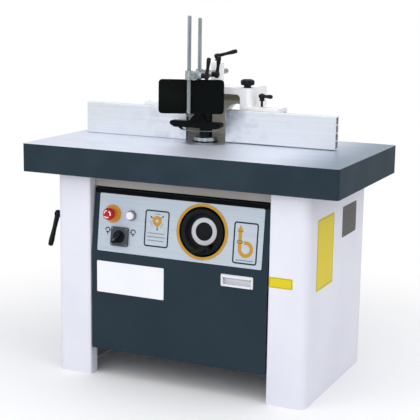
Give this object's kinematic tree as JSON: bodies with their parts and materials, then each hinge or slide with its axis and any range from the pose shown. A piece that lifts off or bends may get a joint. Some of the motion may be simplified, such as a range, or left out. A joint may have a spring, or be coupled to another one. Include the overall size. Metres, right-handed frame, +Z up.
{
  "type": "spindle moulder",
  "caption": "Floor-standing spindle moulder: cast table on a folded-sheet stand, handwheel-raised spindle, split fence with chip hood, and a hold-down with guard plate.",
  "frame": {"origin": "on the floor under the middle of the table", "axes": "+X to the operator's right along the fence, +Y to the back of the machine, +Z up"},
  "size_m": [1.121, 0.61, 1.222],
  "materials": {
    "cast_grey": "slate grey enamel, ground top",
    "machined_steel": "ground",
    "stand_white": "fine-textured powder coat",
    "door_slate": "satin paint",
    "plate_silver": "brushed, lacquered",
    "gold_trim": "satin",
    "black_plastic": "satin",
    "white_plastic": "gloss",
    "red_plastic": "gloss",
    "yellow_plastic": "gloss",
    "grey_plastic": "matt",
    "dark_iron": "as cast and painted",
    "bronze": "turned",
    "belt_rubber": "matt",
    "motor_grey": "painted",
    "zinc_steel": "zinc plated",
    "fence_alloy": "anodised",
    "hood_white": "satin paint",
    "guard_black": "matt",
    "blued_steel": "blued",
    "spring_steel": "blued"
  },
  "bodies": {
    "stand": {"left_side_panel": "stand_white", "right_side_panel": "stand_white", "cross_rails": "stand_white", "rear_cover": "stand_white", "table": "cast_grey", "table_rings": "machined_steel", "slide_way": "dark_iron", "gear_bracket": "dark_iron", "door_hinges": "zinc_steel", "hood_studs": "zinc_steel"},
    "door": {"front_door": "door_slate", "control_plate": "plate_silver", "handwheel_trim": "gold_trim", "estop_base": "yellow_plastic", "start_bezel": "black_plastic", "switch_plate": "grey_plastic", "door_pull": "zinc_steel", "contact_blocks": "black_plastic"},
    "estop": {"estop_button": "red_plastic"},
    "start": {"start_button": "white_plastic"},
    "selector": {"selector_knob": "black_plastic"},
    "wheel": {"handwheel": "black_plastic", "wheel_dial": "white_plastic", "wheel_shaft": "machined_steel", "bevel_pinion": "machined_steel"},
    "crank": {"crank_handle": "black_plastic"},
    "screw": {"lift_screw": "machined_steel", "bevel_gear": "machined_steel"},
    "carriage": {"spindle_carriage": "dark_iron", "spindle_bearings": "machined_steel", "lift_nut": "bronze", "motor_plate": "dark_iron", "motor": "motor_grey", "drive_belt": "belt_rubber"},
    "spindle": {"spindle_shaft": "machined_steel", "spindle_pulley": "fence_alloy", "spacer_collars": "blued_steel", "spindle_nut": "zinc_steel"},
    "rotor": {"motor_shaft": "machined_steel", "motor_pulley": "fence_alloy"},
    "lock": {"lock_lever": "black_plastic"},
    "hood": {"fence_hood": "hood_white"},
    "left_knob": {"left_hood_knob": "black_plastic"},
    "right_knob": {"right_hood_knob": "black_plastic"},
    "left_fence": {"left_fence": "fence_alloy", "left_fence_bracket": "dark_iron"},
    "right_fence": {"right_fence": "fence_alloy", "right_fence_bracket": "dark_iron"},
    "left_fence_lever": {"left_fence_lever": "black_plastic"},
    "right_fence_lever": {"right_fence_lever": "black_plastic"},
    "post_lever": {"post_lever": "black_plastic"},
    "bar": {"hold_down_bar": "zinc_steel", "cross_clamps": "zinc_steel"},
    "guard_lever": {"guard_lever": "black_plastic"},
    "shoe_lever": {"shoe_lever": "black_plastic"},
    "guard_rod": {"guard_rod": "zinc_steel"},
    "guard": {"guard_plate": "guard_black"},
    "shoe": {"shoe_rod": "zinc_steel", "pressure_shoe": "guard_black", "leaf_spring": "spring_steel"}
  },
  "joints": [
    {"name": "door_swing", "type": "hinge", "parent": "stand", "child": "door", "pos_m": [-0.309, -0.247, 0.25], "axis": [0, 0, -1], "range_deg": [0, 90]},
    {"name": "estop_press", "type": "slide", "parent": "door", "child": "estop", "axis": [0, 0.9925, -0.1219], "range_m": [0, 0.005], "stiffness_N_per_m": 600},
    {"name": "start_press", "type": "slide", "parent": "door", "child": "start", "axis": [0, 0.9925, -0.1219], "range_m": [0, 0.004], "stiffness_N_per_m": 500},
    {"name": "selector_turn", "type": "hinge", "parent": "door", "child": "selector", "pos_m": [-0.214, -0.24908, 0.49451], "axis": [0, -0.9925, 0.1219], "range_deg": [-90, 0]},
    {"name": "spindle_lift", "type": "slide", "parent": "stand", "child": "carriage", "axis": [0, 0, 1], "range_m": [-0.085, 0.015]},
    {"name": "lift_screw_turn", "type": "hinge", "parent": "stand", "child": "screw", "pos_m": [0.0845, -0.1, 0.35], "axis": [0, 0, 1], "range_deg": [-1500, 7800]},
    {"name": "handwheel_turn", "type": "hinge", "parent": "stand", "child": "wheel", "pos_m": [0.0845, -0.24347, 0.54017], "axis": [0, -0.9925, 0.1219], "range_deg": [-1500, 7800]},
    {"name": "crank_fold", "type": "hinge", "parent": "wheel", "child": "crank", "pos_m": [0.11417, -0.26365, 0.4948], "axis": [-0.3746, 0.113, 0.9203], "range_deg": [0, 90]},
    {"name": "spindle_spin", "type": "hinge", "parent": "carriage", "child": "spindle", "pos_m": [-0.05, 0.063, 0.5], "axis": [0, 0, 1], "continuous": true},
    {"name": "motor_spin", "type": "hinge", "parent": "carriage", "child": "rotor", "pos_m": [0.19, 0.063, 0.3], "axis": [0, 0, 1], "continuous": true},
    {"name": "lock_turn", "type": "hinge", "parent": "stand", "child": "lock", "pos_m": [-0.525, -0.109, 0.515], "axis": [-1, 0, 0], "range_deg": [-30, 30]},
    {"name": "hood_shift", "type": "slide", "parent": "stand", "child": "hood", "axis": [0, 1, 0], "range_m": [-0.04, 0]},
    {"name": "left_knob_turn", "type": "hinge", "parent": "stand", "child": "left_knob", "pos_m": [-0.182, 0.112, 0.99], "axis": [0, 0, 1], "range_deg": [0, 360]},
    {"name": "right_knob_turn", "type": "hinge", "parent": "stand", "child": "right_knob", "pos_m": [0.082, 0.112, 0.99], "axis": [0, 0, 1], "range_deg": [0, 360]},
    {"name": "left_fence_shift", "type": "slide", "parent": "hood", "child": "left_fence", "axis": [1, 0, 0], "range_m": [-0.038, 0.012]},
    {"name": "right_fence_shift", "type": "slide", "parent": "hood", "child": "right_fence", "axis": [1, 0, 0], "range_m": [-0.012, 0.038]},
    {"name": "left_fence_clamp", "type": "hinge", "parent": "left_fence", "child": "left_fence_lever", "pos_m": [-0.226, 0.138, 0.92], "axis": [0, 0, 1], "range_deg": [-20, 60]},
    {"name": "right_fence_clamp", "type": "hinge", "parent": "right_fence", "child": "right_fence_lever", "pos_m": [0.126, 0.138, 0.92], "axis": [0, 0, 1], "range_deg": [-60, 60]},
    {"name": "post_clamp", "type": "hinge", "parent": "hood", "child": "post_lever", "pos_m": [-0.034, 0.116, 1.06], "axis": [0, 0, 1], "range_deg": [-60, 60]},
    {"name": "bar_reach", "type": "slide", "parent": "hood", "child": "bar", "axis": [0, 1, 0], "range_m": [-0.05, 0]},
    {"name": "guard_clamp", "type": "hinge", "parent": "bar", "child": "guard_lever", "pos_m": [0, -0.06, 1.025], "axis": [1, 0, 0], "range_deg": [-30, 60]},
    {"name": "shoe_clamp", "type": "hinge", "parent": "bar", "child": "shoe_lever", "pos_m": [0, 0.022, 1.025], "axis": [1, 0, 0], "range_deg": [-60, 30]},
    {"name": "guard_height", "type": "slide", "parent": "bar", "child": "guard_rod", "axis": [0, 0, 1], "range_m": [-0.03, 0]},
    {"name": "guard_swivel", "type": "hinge", "parent": "guard_rod", "child": "guard", "pos_m": [-0.058, -0.06, 0.95], "axis": [0, 0, 1], "range_deg": [-40, 0]},
    {"name": "shoe_height", "type": "slide", "parent": "bar", "child": "shoe", "axis": [0, 0, 1], "range_m": [-0.006, 0.08]}
  ],
  "couplings": [
    {"joint": "lift_screw_turn", "follows": "spindle_lift", "rad_per_m": -1570.8},
    {"joint": "handwheel_turn", "follows": "spindle_lift", "rad_per_m": -1570.8},
    {"joint": "motor_spin", "follows": "spindle_spin", "ratio": 0.61111}
  ]
}
